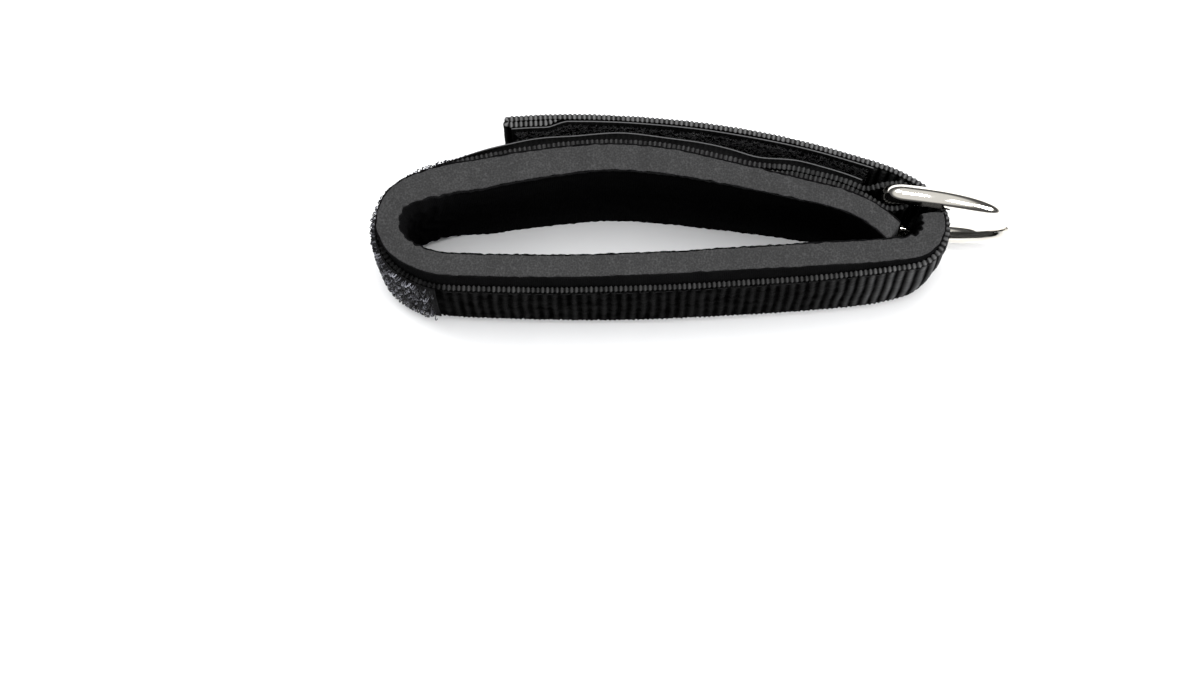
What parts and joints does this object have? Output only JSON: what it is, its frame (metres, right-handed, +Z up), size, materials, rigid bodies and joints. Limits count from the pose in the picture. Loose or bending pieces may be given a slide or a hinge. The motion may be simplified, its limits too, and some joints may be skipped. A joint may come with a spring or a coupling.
{
  "type": "ankle cuff strap",
  "caption": "Padded ankle cuff: foam band with jersey faces, sewn webbing strap, hook-and-loop closing tail and a D-ring for clipping a cable or load.",
  "frame": {"origin": "bottom centre of the bounding box, on the lower cut edge of the pad", "axes": "+Z up along the loop's axis, +X along the flattened loop towards the D-ring, +Y towards the side wall that carries the closing tail"},
  "size_m": [0.1832, 0.0504, 0.062],
  "materials": {
    "foam": "matt cut foam",
    "jersey_inner": "fine knit",
    "jersey_outer": "fine knit",
    "webbing": "ribbed weave",
    "tape": "fine ribbed tape",
    "hook": "hook pile",
    "loop": "loop pile",
    "thread": "twisted thread",
    "ring_metal": "bright nickel plate"
  },
  "bodies": {
    "cuff": {"neoprene_core": "foam", "inner_lining": "jersey_inner", "outer_lining": "jersey_outer", "webbing_strap": "webbing", "hook_tape": "tape", "hook_pile": "hook", "stitch_hook_lower": "thread", "stitch_hook_upper": "thread", "stitch_hook_end": "thread", "stitch_strap_lower": "thread", "stitch_strap_upper": "thread", "stitch_keeper": "thread"},
    "d_ring": {"d_ring": "ring_metal"},
    "tail": {"tail_webbing": "webbing", "loop_tape": "tape", "loop_pile": "loop", "stitch_loop_lower": "thread", "stitch_loop_upper": "thread", "stitch_hem": "thread"}
  },
  "joints": [
    {"name": "ring_swing", "type": "hinge", "parent": "cuff", "child": "d_ring", "pos_m": [0.05204, 0.00227, 0.031], "axis": [0, 0, 1], "range_deg": [-2, 50]},
    {"name": "tail_peel", "type": "hinge", "parent": "cuff", "child": "tail", "pos_m": [0.06081, 0.00537, 0.031], "axis": [0, 0, -1], "range_deg": [0, 60]}
  ]
}
